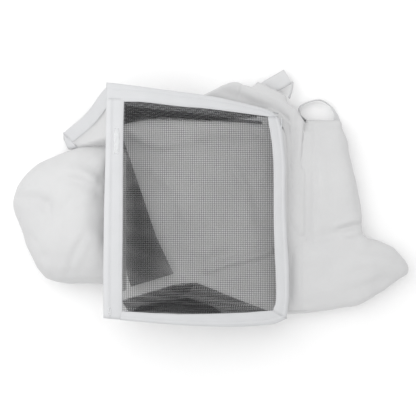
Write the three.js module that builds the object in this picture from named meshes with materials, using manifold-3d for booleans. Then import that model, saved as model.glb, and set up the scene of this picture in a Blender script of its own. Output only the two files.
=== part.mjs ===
// A pullover beekeeping smock, folded flat on a table with its box-shaped veil hood lying on top.
//
// The hood is a box of panels bound with cotton tape: a black screen in front, a white back, a white crown,
// and two black side gussets that fold inwards when the box is pressed flat. Its open side is the neck. The smock's
// body is folded under the hood and puffs out beyond the crown; the sleeves lie past the neck, each with a thumb loop.
//
// Millimetres, +Z up. While the parts are made the neck line runs along Y at x = 0, the crown points to -X and the
// sleeves to +X. The last lines move the whole so that its origin is the middle of its footprint, on the table.
import * as THREE from "three";
import { mergeVertices } from "three/addons/utils/BufferGeometryUtils.js";
import Module from "manifold-3d";

const wasm = await Module();
wasm.setup();

// ---- Driving dimensions ----

const gap = 0.3; // between pieces that lie on or beside each other

const veil = {
  length: 276, // neck edge to crown edge, along the slope
  crownUpper: 184, // middle line to the upper corner, at the crown edge
  crownLower: 161,
  neckUpper: 145, // the same at the neck edge
  neckLower: 173,
  slope: THREE.MathUtils.degToRad(13.4), // the crown edge lies higher than the neck edge
  rise: 21, // neck edge above the hood's back panel
};

// How far each corner of the screen's window lies inside the veil frame's corner.
const windowInset = {
  crownUpper: [27, -28],
  crownLower: [29, 10],
  neckLower: [-20, 16],
  neckUpper: [-26, -5],
};

const tape = { thickness: 4.4, backThickness: 2.4, backWidth: 18 };
const screen = { thickness: 0.6, slotClearance: 0.3 };
const stay = { radius: 0.9, clearance: 0.4, tipRadius: 1.4, tipLength: 22 };
const cloth = { panel: 1.6, gusset: 1.2 };

const body = {
  backLayer: 22, // thickness of the folded smock's lower layer
  frontLayer: 24,
  neckInset: 6, // the layers end this far short of the neck line
  lower: 150, // middle line to the layers' lower side
  upperCrown: 138, // middle line to the layers' upper side, at the crown
  upperNeck: 120, // the same at the neck
  rim: 8,
};
const fold = { height: 88, upper: 106, lower: 114, end: 2 }; // its flat inner end lies this far inside the hood's crown edge
const waist = { thickness: 4.4, height: 34, margin: 20, elastic: 1.6, elasticHeight: 24 };
const crown = {
  depth: 133, // along its slope, from the veil's crown edge to the edge that joins the hood's back
  backUpper: 119, // middle line to its upper corner there
  tape: 14,
  slope: THREE.MathUtils.degToRad(52),
  tuckSlope: THREE.MathUtils.degToRad(106),
};
const upperGusset = { lean: THREE.MathUtils.degToRad(56), neckDepth: 14, crownDepth: 77, backNeck: 6, backCrown: 44 };
const lowerGusset = { lean: THREE.MathUtils.degToRad(45), neckDepth: 14, midDepth: 56, crownDepth: 34, backMid: 28 };
const cornerGusset = { lift: 13, hinge: 21 };
const sleeve = { leftHeight: 46, forearmHeight: 40, upperHeight: 46, rim: 14, cuffWidth: 12.5 };
const yoke = { right: 34.5, upper: 62, lower: 46, rim: 6 };
const collar = { width: 9, thickness: 2.7, clearance: 6 };
const neckFold = { thickness: 3, inset: 12 }; // the cloth that joins the hood's two neck edges
const loop = { strap: 2.6, band: 13, rise: 3, rightHalf: 26.5, rightHeight: 31, leftHalf: 24, leftHeight: 33 };

// ---- Finishes ----

const finish = (color, roughness, metalness = 0) => new THREE.MeshStandardMaterial({ color, roughness, metalness });
const cotton = finish(0xe9e9e8, 0.9);
const bindingTape = finish(0xe4e6e9, 0.75);
const blackMesh = finish(0x2b2d2f, 0.6);
const springSteel = finish(0x9a9da0, 0.35, 1);
const clearPlastic = finish(0xdfe3e6, 0.15);
const elasticWhite = finish(0xdedede, 0.85);

// ---- Helpers ----

const vector = (x, y, z) => new THREE.Vector3(x, y, z);
const mixPoint = (a, b, t) => [a[0] + (b[0] - a[0]) * t, a[1] + (b[1] - a[1]) * t];
const mixCorners = (a, b, t) => a.map((p, i) => mixPoint(p, b[i], t));
const moved = (points, dx, dy) => points.map(([x, y]) => [x + dx, y + dy]);
const flat = (points) => new THREE.Shape(points.map(([x, y]) => new THREE.Vector2(x, y)));

// A flat sheet with straight edges, its lower face at z.
function sheet(points, thickness, z = 0) {
  return new THREE.ExtrudeGeometry(flat(points), { depth: thickness, bevelEnabled: false }).translate(0, 0, z);
}

// A cushion-like layer of folded cloth: flat above and below, round at its rim.
function softLayer(shape, bottom, top, rim, segments = 3) {
  const rise = Math.min(rim, (top - bottom) / 2 - 0.5);
  return new THREE.ExtrudeGeometry(shape, {
    depth: top - bottom - 2 * rise,
    bevelThickness: rise,
    bevelSize: rim,
    bevelOffset: -rim,
    bevelSegments: segments,
    curveSegments: 1,
  }).translate(0, 0, bottom + rise);
}

// A puffed solid: a sphere drawn out sideways to a soft outline, with its widest level halfway up.
function puffed(points, bottom, top, sides = 30, rings = 10, fullness = 0.55) {
  const curve = new THREE.CatmullRomCurve3(points.map(([x, y]) => vector(x, y, 0)), true, "centripetal");
  const outline = curve.getSpacedPoints(sides);
  const centre = outline.slice(1).reduce((sum, p) => sum.add(p), vector(0, 0, 0)).divideScalar(sides);
  const geometry = new THREE.SphereGeometry(1, sides, rings);
  const position = geometry.attributes.position;
  for (let i = 0; i < position.count; i++) {
    const turn = (i % (sides + 1)) % sides;
    const level = position.getY(i);
    const spread = Math.sqrt(Math.max(0, 1 - level * level)) ** fullness;
    const p = centre.clone().lerp(outline[turn], spread < 1e-3 ? 0 : spread);
    position.setXYZ(i, p.x, p.y, (bottom + top) / 2 + (level * (top - bottom)) / 2);
  }
  return geometry;
}

function solid(geometry) {
  const bare = geometry.index ? geometry.toNonIndexed() : geometry.clone();
  bare.deleteAttribute("normal");
  bare.deleteAttribute("uv");
  const merged = mergeVertices(bare, 1e-4);
  const vertProperties = new Float32Array(merged.attributes.position.array);
  const triVerts = new Uint32Array(merged.index.array);
  return new wasm.Manifold(new wasm.Mesh({ numProp: 3, vertProperties, triVerts }));
}

function geometryOf(made) {
  const mesh = made.getMesh();
  const geometry = new THREE.BufferGeometry();
  geometry.setAttribute("position", new THREE.BufferAttribute(new Float32Array(mesh.vertProperties), 3));
  geometry.setIndex(new THREE.BufferAttribute(new Uint32Array(mesh.triVerts), 1));
  return geometry;
}

const cut = (whole, ...tools) => geometryOf(tools.reduce((s, tool) => s.subtract(solid(tool)), solid(whole)));
const joined = (first, ...others) => geometryOf(others.reduce((s, other) => s.add(solid(other)), solid(first)));

// A round rod between two points.
function rod(from, to, radius, sides = 10) {
  const along = to.clone().sub(from);
  const turn = new THREE.Quaternion().setFromUnitVectors(vector(0, 1, 0), along.clone().normalize());
  const middle = from.clone().add(to).multiplyScalar(0.5);
  return new THREE.CylinderGeometry(radius, radius, along.length(), sides).applyQuaternion(turn)
    .translate(middle.x, middle.y, middle.z);
}

// A group at origin whose x runs along `along` and whose y leans towards `across`.
function leaning(origin, along, across) {
  const x = along.clone().normalize();
  const z = x.clone().cross(across).normalize();
  const group = new THREE.Group();
  group.quaternion.setFromRotationMatrix(new THREE.Matrix4().makeBasis(x, z.clone().cross(x), z));
  group.position.copy(origin);
  return group;
}

function place(parent, name, geometry, material) {
  const mesh = new THREE.Mesh(geometry, material);
  mesh.name = name;
  parent.add(mesh);
  return mesh;
}

// ---- Levels above the table ----

const frontLayerBottom = body.backLayer + gap;
const frontLayerTop = frontLayerBottom + body.frontLayer;
const backPanelBottom = frontLayerTop + gap;
const backPanelTop = backPanelBottom + tape.backThickness;
const neckHeight = backPanelTop + veil.rise;
const crownX = -veil.length * Math.cos(veil.slope);
const hoodHinge = vector(0, 0, backPanelBottom + tape.backThickness / 2);

const smock = new THREE.Group();

// ---- Veil: the hood's front, a framed screen that slopes up to the crown ----

const veilFront = new THREE.Group();
veilFront.position.set(0, 0, neckHeight);
veilFront.rotation.y = veil.slope;
smock.add(veilFront);

const edgeNames = ["crown", "lower", "neck", "upper"];
const frameCorners = [
  [-veil.length, veil.crownUpper],
  [-veil.length, -veil.crownLower],
  [0, -veil.neckLower],
  [0, veil.neckUpper],
];
const insets = [windowInset.crownUpper, windowInset.crownLower, windowInset.neckLower, windowInset.neckUpper];
const windowCorners = frameCorners.map(([x, y], i) => [x + insets[i][0], y + insets[i][1]]);

// The stretch of tape along one edge, from mitre to mitre, shortened by a gap at each end.
function edgeStrip(i) {
  const j = (i + 1) % 4;
  const length = Math.hypot(frameCorners[j][0] - frameCorners[i][0], frameCorners[j][1] - frameCorners[i][1]);
  const inner = Math.hypot(windowCorners[j][0] - windowCorners[i][0], windowCorners[j][1] - windowCorners[i][1]);
  return [
    mixPoint(frameCorners[i], frameCorners[j], gap / length),
    mixPoint(frameCorners[j], frameCorners[i], gap / length),
    mixPoint(windowCorners[j], windowCorners[i], gap / inner),
    mixPoint(windowCorners[i], windowCorners[j], gap / inner),
  ];
}

const stayShare = 0.78; // the stay lies near the tape's outer fold, the screen stops short of it
const screenShare = 0.4;
const slotShare = 0.46;

function makeVeilFront() {
  const half = tape.thickness / 2;
  const slot = sheet(
    mixCorners(windowCorners, frameCorners, slotShare),
    screen.thickness + 2 * screen.slotClearance,
    -screen.thickness / 2 - screen.slotClearance,
  );
  const stayLine = mixCorners(windowCorners, frameCorners, stayShare);
  place(
    veilFront,
    "front_screen",
    sheet(mixCorners(windowCorners, frameCorners, screenShare), screen.thickness, -screen.thickness / 2),
    blackMesh,
  );
  edgeNames.forEach((edge, i) => {
    const from = vector(...stayLine[i], 0);
    const to = vector(...stayLine[(i + 1) % 4], 0);
    const at = (t) => from.clone().lerp(to, t);
    const tipped = edge === "crown";
    const channelRadius = (tipped ? stay.tipRadius : stay.radius) + stay.clearance;
    const channel = rod(at(-0.03), at(1.03), channelRadius, 8);
    place(veilFront, `${edge}_edge_binding`, cut(sheet(edgeStrip(i), tape.thickness, -half), slot, channel), bindingTape);
    const tipShare = stay.tipLength / from.distanceTo(to);
    const start = tipped ? 0.02 + tipShare + 0.001 : 0.02;
    place(veilFront, `${edge}_edge_stay`, rod(at(start), at(1 - start), stay.radius, 8), springSteel);
    if (tipped) {
      place(veilFront, "upper_stay_tip", rod(at(0.02), at(0.02 + tipShare), stay.tipRadius, 10), clearPlastic);
      place(veilFront, "lower_stay_tip", rod(at(0.98 - tipShare), at(0.98), stay.tipRadius, 10), clearPlastic);
    }
  });
}

// ---- Gussets: the hood's black sides, each in a front half under the veil and a back half on the back panel ----

const bindingMiddle = mixCorners(windowCorners, frameCorners, 0.5);
const gussetLevel = -(tape.thickness / 2 + gap + cloth.gusset / 2);
const gussetEdge = 1.4; // the back halves start this far inside the back panel's edge
const gussetEnd = 14; // and this far from the neck's and the crown's corners

function frontGusset(name, neckCorner, crownCorner, lean, side, profile) {
  const from = vector(...bindingMiddle[neckCorner], gussetLevel);
  const along = vector(...bindingMiddle[crownCorner], gussetLevel).sub(from);
  const group = leaning(from, along, vector(0, -side * Math.cos(lean), -Math.sin(lean)));
  veilFront.add(group);
  const reach = along.length() - gussetEnd;
  const outline = [[gussetEnd, 0], [reach, 0], ...profile(reach)];
  place(group, name, sheet(outline, cloth.gusset, -cloth.gusset / 2), blackMesh);
}

function makeGussets() {
  frontGusset("upper_gusset_front", 3, 0, upperGusset.lean, 1, (reach) => [
    [reach, upperGusset.crownDepth],
    [gussetEnd, upperGusset.neckDepth],
  ]);
  frontGusset("lower_gusset_front", 2, 1, lowerGusset.lean, -1, (reach) => [
    [reach, lowerGusset.crownDepth],
    [reach * 0.52, lowerGusset.midDepth],
    [gussetEnd, lowerGusset.neckDepth],
  ]);
  const level = backPanelTop + gap;
  const upperLine = (t) => mixPoint(backCorners[3], backCorners[0], t);
  const lowerLine = (t) => mixPoint(backCorners[2], backCorners[1], t);
  const upperBack = [
    moved([upperLine(0.08)], 0, -gussetEdge)[0],
    moved([upperLine(0.94)], 0, -gussetEdge)[0],
    moved([upperLine(0.94)], 0, -upperGusset.backCrown)[0],
    moved([upperLine(0.08)], 0, -upperGusset.backNeck)[0],
  ];
  place(hoodBack, "upper_gusset_back", sheet(upperBack, cloth.gusset, level), blackMesh);
  const lowerBack = [
    moved([lowerLine(0.08)], 0, gussetEdge)[0],
    moved([lowerLine(0.94)], 0, gussetEdge)[0],
    moved([lowerLine(0.5)], 0, lowerGusset.backMid)[0],
  ];
  place(hoodBack, "lower_gusset_back", sheet(lowerBack, cloth.gusset, level), blackMesh);
}

// ---- Hood back: a white panel on the folded smock, with its tapes and the corner gusset above it ----

const hoodBack = new THREE.Group();
smock.add(hoodBack);

const backCorners = [
  [crownX + 6.5, veil.crownUpper - 12],
  [crownX + 6.5, -veil.crownLower - 2],
  [-1, -veil.neckLower + 5],
  [-1, veil.neckUpper - 9],
];

function makeHoodBack() {
  const w = tape.backWidth;
  const inner = [
    [backCorners[0][0] + w, backCorners[0][1] - w],
    [backCorners[1][0] + w, backCorners[1][1] + w],
    [backCorners[2][0], backCorners[2][1] + w],
    [backCorners[3][0], backCorners[3][1] - w],
  ];
  const t = tape.backThickness;
  const panel = [
    [inner[0][0] + gap, inner[0][1] - gap],
    [inner[1][0] + gap, inner[1][1] + gap],
    [inner[2][0], inner[2][1] + gap],
    [inner[3][0], inner[3][1] - gap],
  ];
  place(hoodBack, "hood_back_panel", sheet(panel, t, backPanelBottom), cotton);
  const strips = {
    hood_back_crown_binding: [backCorners[0], backCorners[1], inner[1], inner[0]],
    hood_back_lower_binding: [moved([backCorners[1]], gap, 0)[0], backCorners[2], inner[2], moved([inner[1]], gap, 0)[0]],
    hood_back_upper_binding: [moved([backCorners[0]], gap, 0)[0], moved([inner[0]], gap, 0)[0], inner[3], backCorners[3]],
  };
  for (const [name, points] of Object.entries(strips)) {
    place(hoodBack, name, sheet(points, t, backPanelBottom), bindingTape);
  }
  // Across the neck, a fold of cloth stands between the back panel and the veil's neck edge.
  const neckTop = neckHeight - tape.thickness / 2 / Math.cos(veil.slope) - gap;
  const neckLength = veil.neckUpper + veil.neckLower - 2 * neckFold.inset;
  const neckPiece = new THREE.BoxGeometry(neckFold.thickness, neckLength, neckTop - backPanelTop - gap);
  const neckMiddle = (veil.neckUpper - veil.neckLower) / 2;
  neckPiece.translate(-1.4 - neckFold.thickness / 2, neckMiddle, (neckTop + backPanelTop + gap) / 2);
  place(hoodBack, "neck_fold", neckPiece, cotton);
  // The corner gusset: a straight-edged fold of mesh that hangs from the crown seam and lies above the back panel.
  const hingeX = crownX + cornerGusset.hinge;
  const outline = [[0, 102], [0, -82], [11, -120], [76, -100], [50, -44], [24, 22]];
  place(
    hoodBack,
    "corner_gusset",
    sheet(moved(outline, hingeX, 0), cloth.gusset, backPanelTop + cornerGusset.lift),
    blackMesh,
  );
}

// ---- Crown: white, hung from the veil's crown edge; its upper end slopes out, the rest tucks down under the edge ----

function makeCrown() {
  const level = -(tape.thickness / 2 + gap + cloth.panel);
  const hinge = vector(-(veil.length - 4), 0, level).applyAxisAngle(vector(0, 1, 0), veil.slope)
    .add(vector(0, 0, neckHeight));
  const group = new THREE.Group();
  group.position.copy(hinge);
  smock.add(group);
  const top = veil.crownUpper - 8;
  const lower = fold.upper + 1.5; // the outer part swings past the smock's fold
  const w = crown.tape;
  const start = 1.5;
  const reach = crown.depth;
  const bend = reach - w;
  const edge = (s) => top - ((s - start) / (reach - start)) * (top - crown.backUpper);
  // In the sheet's own plane: s down the slope, y as in the hood.
  const outer = [[start, top - w], [start, lower], [bend - gap, lower], [bend - gap, edge(bend) - w]];
  const upperStrip = [
    [start, top],
    [start, top - w + gap],
    [bend - gap, edge(bend) - w + gap],
    [bend - gap, edge(bend)],
  ];
  const backStrip = [[bend, edge(bend)], [bend, lower], [reach, lower], [reach, crown.backUpper]];
  const tuckEnd = -veil.crownLower + 9 + lowerGusset.crownDepth * Math.cos(lowerGusset.lean);
  const flapTop = backPanelTop + cornerGusset.lift + cloth.gusset;
  const tuckLength = (hinge.z - flapTop - gap - 0.4) / Math.sin(crown.tuckSlope);
  // Each half is a flat sheet turned down about the seam that it hangs from.
  const hung = (from, to, low, high, slope) =>
    sheet([[from, high], [from, low], [to, low], [to, high]], cloth.panel, -cloth.panel / 2).rotateY(Math.PI - slope);
  const slopeOut = (geometry) => geometry.rotateY(Math.PI - crown.slope);
  const seam = rod(vector(0, top - w, 0), vector(0, tuckEnd, 0), 1.6, 8);
  const panel = joined(
    seam,
    hung(0, 3, lower, top - w - 1.5, crown.slope),
    slopeOut(sheet(outer, cloth.panel, -cloth.panel / 2)),
    hung(0, tuckLength, tuckEnd, lower - 3, crown.tuckSlope),
  );
  const tapeSheet = (points) => slopeOut(sheet(points, tape.backThickness, -tape.backThickness / 2));
  place(group, "crown_panel", panel, cotton);
  place(group, "crown_upper_binding", tapeSheet(upperStrip), bindingTape);
  place(group, "crown_back_binding", tapeSheet(backStrip), bindingTape);
  return hinge;
}

// ---- Smock body: two layers under the hood, the fold that puffs out past the crown, the waist hem and the yoke ----

function makeBody() {
  const foldEnd = crownX + fold.end;
  const left = foldEnd + gap;
  const right = -body.neckInset;
  const layer = [
    [left, body.upperCrown],
    [left, 0],
    [left, -body.lower],
    [(left + right) / 2, -body.lower],
    [right, -body.lower],
    [right, 0],
    [right, body.upperNeck],
    [(left + right) / 2, (body.upperCrown + body.upperNeck) / 2],
  ];
  place(smock, "torso_back_panel", softLayer(flat(layer), 0, body.backLayer, body.rim), cotton);
  place(smock, "torso_front_panel", softLayer(flat(layer), frontLayerBottom, frontLayerTop, body.rim), cotton);

  const puff = [
    [8, fold.upper], [-12, fold.upper - 3], [-55, 94], [-90, 81], [-122, 64], [-147, 36], [-155, 12], [-147, -18],
    [-131, -63], [-118, -94], [-100, -111], [-72, -118], [-40, -117], [8, -fold.lower], [8, -50], [8, 40],
  ];
  const beyondEnd = new THREE.BoxGeometry(100, 400, 400).translate(foldEnd + 50, 0, 0);
  place(smock, "torso_fold", cut(puffed(moved(puff, foldEnd, 0), 0, fold.height), beyondEnd), cotton);

  const hemLength = right - left - 2 * waist.margin;
  const hemMiddle = [(left + right) / 2, -body.lower - gap - waist.thickness / 2, frontLayerBottom - 1];
  const hem = new THREE.BoxGeometry(hemLength, waist.thickness, waist.height);
  const tunnel = new THREE.BoxGeometry(hemLength + 2, waist.elastic + 2 * gap, waist.elasticHeight + 2 * gap);
  const elastic = new THREE.BoxGeometry(hemLength - 4, waist.elastic, waist.elasticHeight);
  place(smock, "waist_hem", cut(hem, tunnel).translate(...hemMiddle), bindingTape);
  place(smock, "waist_elastic", elastic.translate(...hemMiddle), elasticWhite);

  const start = right + gap;
  const shoulder = [[start, -yoke.lower], [yoke.right, -yoke.lower], [yoke.right, yoke.upper], [start, yoke.upper]];
  place(smock, "shoulder_yoke", softLayer(flat(shoulder), 0, sleeve.upperHeight, yoke.rim), cotton);
  const band = [
    [collar.clearance, -veil.neckLower + 24],
    [collar.clearance + collar.width, -veil.neckLower + 24],
    [collar.clearance + collar.width, yoke.upper - yoke.rim],
    [collar.clearance, yoke.upper - yoke.rim],
  ];
  place(smock, "neck_seam_band", sheet(band, collar.thickness, sleeve.upperHeight + gap), bindingTape);
}

// ---- Sleeves: the left one comes out from under the hood, the right one is folded at the elbow ----

const elbow = -(yoke.lower + gap); // y of the crease between the right sleeve's two halves
const forearmLeft = yoke.right + 0.5;
const forearmRight = 93;
const cuffY = 138;

function makeSleeves() {
  const w = sleeve.cuffWidth;
  // Left sleeve, measured from the veil's upper corner at the neck.
  const leftEnd = yoke.upper + gap - veil.neckUpper;
  const cuffFrom = vector(-46, 42, 0);
  const cuffTo = vector(3, 18, 0);
  const leftOutline = [
    [-128, 30], [-96, 46], [-72, 52], [cuffFrom.x, cuffFrom.y], [cuffTo.x, cuffTo.y], [22, 8], [32, -10], [30, -42],
    [27, leftEnd], [7, leftEnd], [7, -4], [-20, 2], [-70, 10], [-122, 17],
  ];
  place(
    smock,
    "left_sleeve",
    softLayer(flat(moved(leftOutline, 0, veil.neckUpper)), 0, sleeve.leftHeight, 4),
    cotton,
  );
  const along = cuffTo.clone().sub(cuffFrom);
  const leftCuff = leaning(cuffFrom.add(vector(0, veil.neckUpper, 0)), along, vector(-along.y, along.x, 0));
  smock.add(leftCuff);
  const cuffLength = along.length();
  const leftBand = new THREE.BoxGeometry(cuffLength, w, 34).translate(cuffLength / 2, w / 2 + gap, sleeve.leftHeight / 2);
  place(leftCuff, "left_cuff_hem", leftBand, bindingTape);
  place(leftCuff, "left_thumb_loop", thumbLoop(loop.leftHalf, loop.leftHeight, cuffLength / 2, w + 2 * gap, 12), elasticWhite);

  // Right sleeve: the forearm lies towards the cuff, the upper arm runs back to the lower side.
  const forearm = [
    [forearmLeft, cuffY - w - gap], [forearmRight, cuffY - w - gap], [103, 106], [107, 76], [116, 36], [123, 0],
    [127, elbow], [forearmLeft, elbow], [forearmLeft, 30],
  ];
  place(smock, "right_forearm", softLayer(flat(forearm), 0, sleeve.forearmHeight, sleeve.rim), cotton);
  const cuffBand = new THREE.BoxGeometry(forearmRight - forearmLeft, w, 26);
  place(smock, "right_cuff_hem", cuffBand.translate((forearmLeft + forearmRight) / 2, cuffY - w / 2, 16), bindingTape);
  const loopMiddle = (forearmLeft + forearmRight) / 2 + 1;
  place(smock, "right_thumb_loop", thumbLoop(loop.rightHalf, loop.rightHeight, loopMiddle, cuffY + gap, loop.rise), elasticWhite);

  // Upper arm, measured from the veil's lower corner at the neck.
  const drop = -veil.neckLower;
  const upperArm = [
    [gap - body.neckInset, drop + 7], [36, drop + 9], [65, drop + 12], [121, drop + 21], [147, drop + 38], [175, drop + 55], [195, drop + 69],
    [197, drop + 80], [189, drop + 94], [173, drop + 112], [150, elbow - 6], [131, elbow - gap], [80, elbow - gap],
    [gap - body.neckInset, elbow - gap],
  ];
  place(smock, "right_upper_sleeve", softLayer(flat(upperArm), 0, sleeve.upperHeight, sleeve.rim), cotton);
}

// A strap sewn down at both ends, standing on its edge as an arch over its base line.
function thumbLoop(half, height, x, y, bottom) {
  const arch = new THREE.Shape();
  arch.absellipse(0, 0, half, height, 0, Math.PI, false);
  arch.lineTo(-half + loop.strap, 0);
  arch.absellipse(0, 0, half - loop.strap, height - loop.strap, Math.PI, 0, true);
  arch.lineTo(half, 0);
  return new THREE.ExtrudeGeometry(arch, { depth: loop.band, bevelEnabled: false, curveSegments: 10 }).translate(x, y, bottom);
}

makeVeilFront();
makeHoodBack();
makeGussets();
makeCrown();
makeBody();
makeSleeves();

// ---- The frame: origin in the middle of the footprint, on the table ----

smock.updateMatrixWorld(true);
const box = new THREE.Box3().setFromObject(smock, true);
const middle = box.getCenter(vector(0, 0, 0));
smock.position.set(-middle.x, -middle.y, -box.min.z);
const part = new THREE.Group();
part.add(smock);

export default part;
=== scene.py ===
# %% [markdown]
# # A beekeeping smock with a veil hood, folded flat
#
# The garment is a white cotton pullover. Its hood is a square box: a black screen framed in cotton tape in front, a
# white crown and back, and black side gussets that fold inwards when the box is pressed flat. The engineering model
# gives every piece its place. Here each soft piece is made again as cloth, tape or woven screen, in metres, and most
# of them ride on the body that carries them.

# %% Load the frame
import math

import bmesh
import bpy
import numpy as np
from mathutils import Matrix, Vector, noise
from mathutils.bvhtree import BVHTree


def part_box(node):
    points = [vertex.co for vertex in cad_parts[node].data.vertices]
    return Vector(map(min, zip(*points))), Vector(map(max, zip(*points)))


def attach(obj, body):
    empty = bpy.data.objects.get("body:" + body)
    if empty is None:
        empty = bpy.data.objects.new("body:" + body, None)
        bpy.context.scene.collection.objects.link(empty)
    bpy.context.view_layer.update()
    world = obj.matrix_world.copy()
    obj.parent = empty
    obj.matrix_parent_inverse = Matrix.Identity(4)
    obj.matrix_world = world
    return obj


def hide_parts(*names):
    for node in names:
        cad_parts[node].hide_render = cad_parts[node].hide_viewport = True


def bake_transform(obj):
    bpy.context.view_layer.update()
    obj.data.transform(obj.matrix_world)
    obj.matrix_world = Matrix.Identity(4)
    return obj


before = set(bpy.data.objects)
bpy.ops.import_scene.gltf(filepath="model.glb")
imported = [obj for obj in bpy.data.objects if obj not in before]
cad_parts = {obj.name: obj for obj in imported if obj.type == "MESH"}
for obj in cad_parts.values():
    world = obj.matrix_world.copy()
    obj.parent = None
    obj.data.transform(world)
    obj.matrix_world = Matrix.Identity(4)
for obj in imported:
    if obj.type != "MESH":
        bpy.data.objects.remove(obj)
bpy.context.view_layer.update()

# %% [markdown]
# ## Places
#
# A maker measures a hood from its neck seam, so all shapes below are given in millimetres from the neck line: x runs
# from the crown (negative) to the sleeves (positive), y across, z up from the table. The veil lies on a slope, so it
# has its own two directions, found from the two tapes at its ends.

# %% Measuring from the neck line
MM = 0.001
neck_fold_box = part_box("neck_fold")
NECK = Vector((neck_fold_box[1].x + 1.4 * MM, (neck_fold_box[0].y + neck_fold_box[1].y) / 2 + 14 * MM, 0))


def at(x, y, z):
    """A point in metres from millimetres off the neck line."""
    return NECK + Vector((x, y, z)) * MM


def middle_of(node):
    low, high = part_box(node)
    return (low + high) / 2


crown_middle, neck_middle = middle_of("crown_edge_binding"), middle_of("neck_edge_binding")
VEIL_SLOPE = math.atan2(crown_middle.z - neck_middle.z, neck_middle.x - crown_middle.x)
VEIL_HEIGHT = (neck_middle.z + (neck_middle.x - NECK.x) * math.tan(VEIL_SLOPE)) / MM


def on_veil(x, y, lift=0.0):
    """A point on the veil's slope: x along it from the neck line, y across it, lift square to it."""
    c, s = math.cos(VEIL_SLOPE), math.sin(VEIL_SLOPE)
    return at(x * c + lift * s, y, VEIL_HEIGHT - x * s + lift * c)


print("veil slope, degrees:", round(math.degrees(VEIL_SLOPE), 1), "height at the neck, mm:", round(VEIL_HEIGHT, 1))


def clamp01(t):
    return min(1.0, max(0.0, t))


def ease(t, low=0.0, high=1.0):
    t = clamp01((t - low) / (high - low))
    return t * t * (3 - 2 * t)


def mix(a, b, t):
    return a + (b - a) * t


def drift(x, y, z):
    """A slow smooth change between about -1 and 1."""
    return noise.noise(Vector((x, y, z)))


# %% [markdown]
# ## Camera, floor and light
#
# A folded garment is shown from straight above on a pale table. A long lens keeps the outlines nearly parallel. The
# main light is one broad panel over the crown's end, so that cloth that slopes away from it turns grey. A weak panel
# on the other side and a bright room keep the shadows pale.

# %% Camera and light
scene = bpy.context.scene
scene.view_settings.view_transform = "Standard"
camera_data = bpy.data.cameras.new("camera")
camera = bpy.data.objects.new("camera", camera_data)
scene.collection.objects.link(camera)
SENSOR_WIDTH, LENS_DISTANCE, SEEN_WIDTH = 36, 1500, 624  # the lens shows this width at this distance, in mm
camera_data.sensor_width = SENSOR_WIDTH
camera_data.lens = SENSOR_WIDTH * LENS_DISTANCE / SEEN_WIDTH
camera.location = at(-118, 0, 1600)
scene.camera = camera


def soft_panel(name, place, aim, size, power):
    data = bpy.data.lights.new(name, "AREA")
    data.size, data.energy = size, power
    lamp = bpy.data.objects.new(name, data)
    lamp.location = place
    lamp.rotation_euler = (aim - place).to_track_quat("-Z", "Y").to_euler()
    scene.collection.objects.link(lamp)


soft_panel("window_panel", at(-470, 170, 820), at(-330, 0, 40), 0.9, 3.3)
soft_panel("fill_panel", at(500, 500, 1300), at(-60, 0, 40), 1.6, 0.8)
world = bpy.data.worlds.new("pale room")
scene.world = world
world.use_nodes = True
world.node_tree.nodes["Background"].inputs["Color"].default_value = (1, 1, 1, 1)
world.node_tree.nodes["Background"].inputs["Strength"].default_value = 0.87
print("lens, mm:", round(camera_data.lens, 1))

# %% [markdown]
# ## Shared surface effects
#
# Cloth, tape and strap are all woven from the same yarn, so one node group makes the weave: two sets of ridges that
# cross, a slow change of yarn thickness, and tiny creases. Each material places it with its own thread count. A
# second group gives a slow change of shade, as washed cotton and moulded plastic both have.


# %% Node helpers
def new_group(name, inputs, outputs):
    group = bpy.data.node_groups.new(name, "ShaderNodeTree")
    for label, kind, value in inputs:
        socket = group.interface.new_socket(label, in_out="INPUT", socket_type=kind)
        if value is not None:
            socket.default_value = value
    for label, kind in outputs:
        group.interface.new_socket(label, in_out="OUTPUT", socket_type=kind)
    return group, group.nodes.new("NodeGroupInput"), group.nodes.new("NodeGroupOutput")


def math_node(tree, operation, a, b=None, c=None):
    node = tree.nodes.new("ShaderNodeMath")
    node.operation = operation
    for socket, value in zip(node.inputs, (a, b, c)):
        if value is None:
            continue
        if isinstance(value, (int, float)):
            socket.default_value = value
        else:
            tree.links.new(value, socket)
    return node.outputs[0]


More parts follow.
